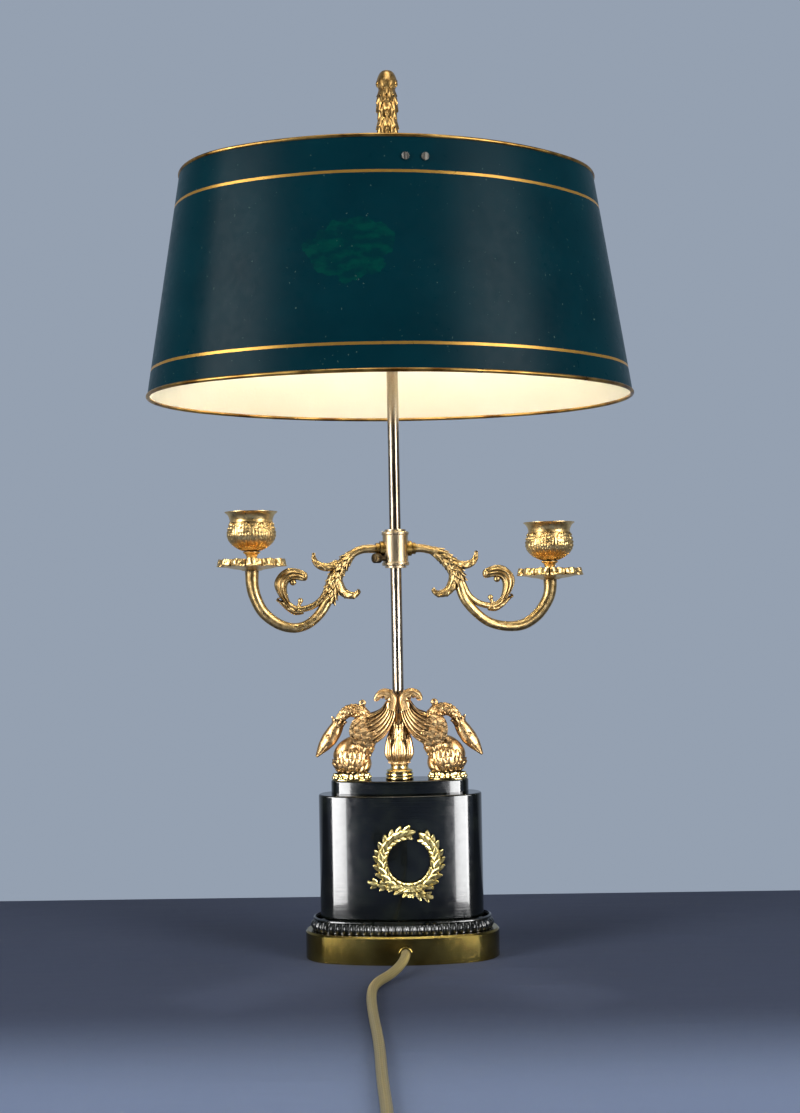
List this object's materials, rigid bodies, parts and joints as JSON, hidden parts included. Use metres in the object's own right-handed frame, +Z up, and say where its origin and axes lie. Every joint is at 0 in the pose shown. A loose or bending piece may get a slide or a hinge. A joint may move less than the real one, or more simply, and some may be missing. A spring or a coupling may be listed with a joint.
{
  "type": "bouillotte lamp",
  "caption": "Table lamp on an oval lacquered base with gilt swans, candle arms that slide and turn on a rod, a tapered oval metal shade and a bird-neck finial.",
  "frame": {"origin": "on the rod axis, at the underside of the felt that the lamp stands on", "axes": "+X to the right along the base length, +Y away from the side where the cord leaves, +Z up the rod"},
  "size_m": [0.3394, 0.6432, 0.6205],
  "materials": {
    "lacquer": "gloss black lacquer on sheet metal, with a faint ripple, dust and rubbed edges",
    "moulding": "cast moulding painted black, satin, rubbed to brass on its highest points",
    "foot_brass": "aged olive-brown brass, burnished in bands, dark in the quirks",
    "gilt": "chased and gilt cast brass, matt ground, burnished high points, brown in the hollows",
    "satin_brass": "drawn brass tube worn to a pale satin",
    "steel": "plain turned or pressed steel",
    "iron": "rough grey casting",
    "felt": "green baize",
    "tole": "dark blue-green enamelled sheet metal outside, cream inside, with scratches and touched-up patches",
    "rim_brass": "rolled brass wire, aged",
    "strap_brass": "strip brass, brown-toned",
    "holder": "spun brass lampholder shells",
    "bulb": "frosted warm glass",
    "flex": "braided old-gold silk-covered flex",
    "lead_inner": "two-core insulated lead",
    "bakelite": "dark brown moulded plastic, softly glossy",
    "rocker": "ivory moulded plastic"
  },
  "bodies": {
    "base": {"felt_pad": "felt", "base_plate": "steel", "foot_ring": "foot_brass", "ring_screws": "steel", "bead_moulding": "moulding", "base_body": "lacquer", "base_step": "lacquer", "ballast": "iron", "rod_nuts": "steel", "lamp_rod": "satin_brass", "supply_lead": "lead_inner", "bud_socle": "gilt", "bud": "gilt", "swan_plinths": "gilt", "swan_left": "gilt", "swan_right": "gilt", "swan_studs": "steel", "swan_nuts": "steel", "wreath_rear": "gilt", "wreath_front": "gilt", "wreath_pins": "gilt", "cluster_hub": "holder", "cluster_screw": "steel", "lampholder_left": "holder", "lampholder_right": "holder", "bulb_left": "bulb", "bulb_right": "bulb", "cord_bush": "foot_brass", "cord_lead": "flex", "cord_mid": "flex", "cord_tail": "flex", "cord_coil": "flex", "cord_tie": "bakelite", "switch_base": "bakelite", "switch_cover": "bakelite", "plug_body": "bakelite", "plug_pins": "steel"},
    "arm_slider": {"collar_bush": "satin_brass", "collar_cap": "satin_brass"},
    "candle_arms": {"collar": "satin_brass", "ferrule_left": "satin_brass", "ferrule_right": "satin_brass", "arm_left": "gilt", "arm_right": "gilt", "drip_pan_left": "gilt", "drip_pan_right": "gilt", "candle_cup_left": "gilt", "candle_cup_right": "gilt", "cup_studs": "steel"},
    "arm_screw": {"collar_thumbscrew": "satin_brass"},
    "shade_slider": {"shade_sleeve": "strap_brass", "sleeve_nut": "strap_brass"},
    "shade": {"shade_shell": "tole", "shade_top_rim": "rim_brass", "shade_bottom_rim": "rim_brass", "shade_strap": "strap_brass", "shade_rivets": "strap_brass"},
    "shade_screw": {"shade_thumbscrew": "satin_brass"},
    "finial": {"finial": "gilt"},
    "rocker": {"switch_rocker": "rocker"}
  },
  "joints": [
    {"name": "arms_slide", "type": "slide", "parent": "base", "child": "arm_slider", "axis": [0, 0, 1], "range_m": [-0.05, 0.06]},
    {"name": "arms_turn", "type": "hinge", "parent": "arm_slider", "child": "candle_arms", "pos_m": [0, 0, 0.282], "axis": [0, 0, 1], "continuous": true},
    {"name": "collar_screw_turn", "type": "hinge", "parent": "candle_arms", "child": "arm_screw", "pos_m": [-0.01221, -0.00871, 0.2752], "axis": [-0.8141, -0.5807, 0], "range_deg": [0, 540]},
    {"name": "shade_slide", "type": "slide", "parent": "base", "child": "shade_slider", "axis": [0, 0, 1], "range_m": [-0.07, 0.003]},
    {"name": "shade_turn", "type": "hinge", "parent": "shade_slider", "child": "shade", "pos_m": [0, 0, 0.5333], "axis": [0, 0, 1], "range_deg": [-40, 40]},
    {"name": "shade_screw_turn", "type": "hinge", "parent": "shade_slider", "child": "shade_screw", "pos_m": [0.006, -0.01039, 0.5417], "axis": [0.5, -0.866, 0], "range_deg": [0, 540]},
    {"name": "finial_turn", "type": "hinge", "parent": "base", "child": "finial", "pos_m": [0, 0, 0.549], "axis": [0, 0, 1], "range_deg": [0, 360]},
    {"name": "rocker_tip", "type": "hinge", "parent": "base", "child": "rocker", "pos_m": [0.003, -0.418, 0.0125], "axis": [1, 0, 0], "range_deg": [-14, 0]}
  ]
}
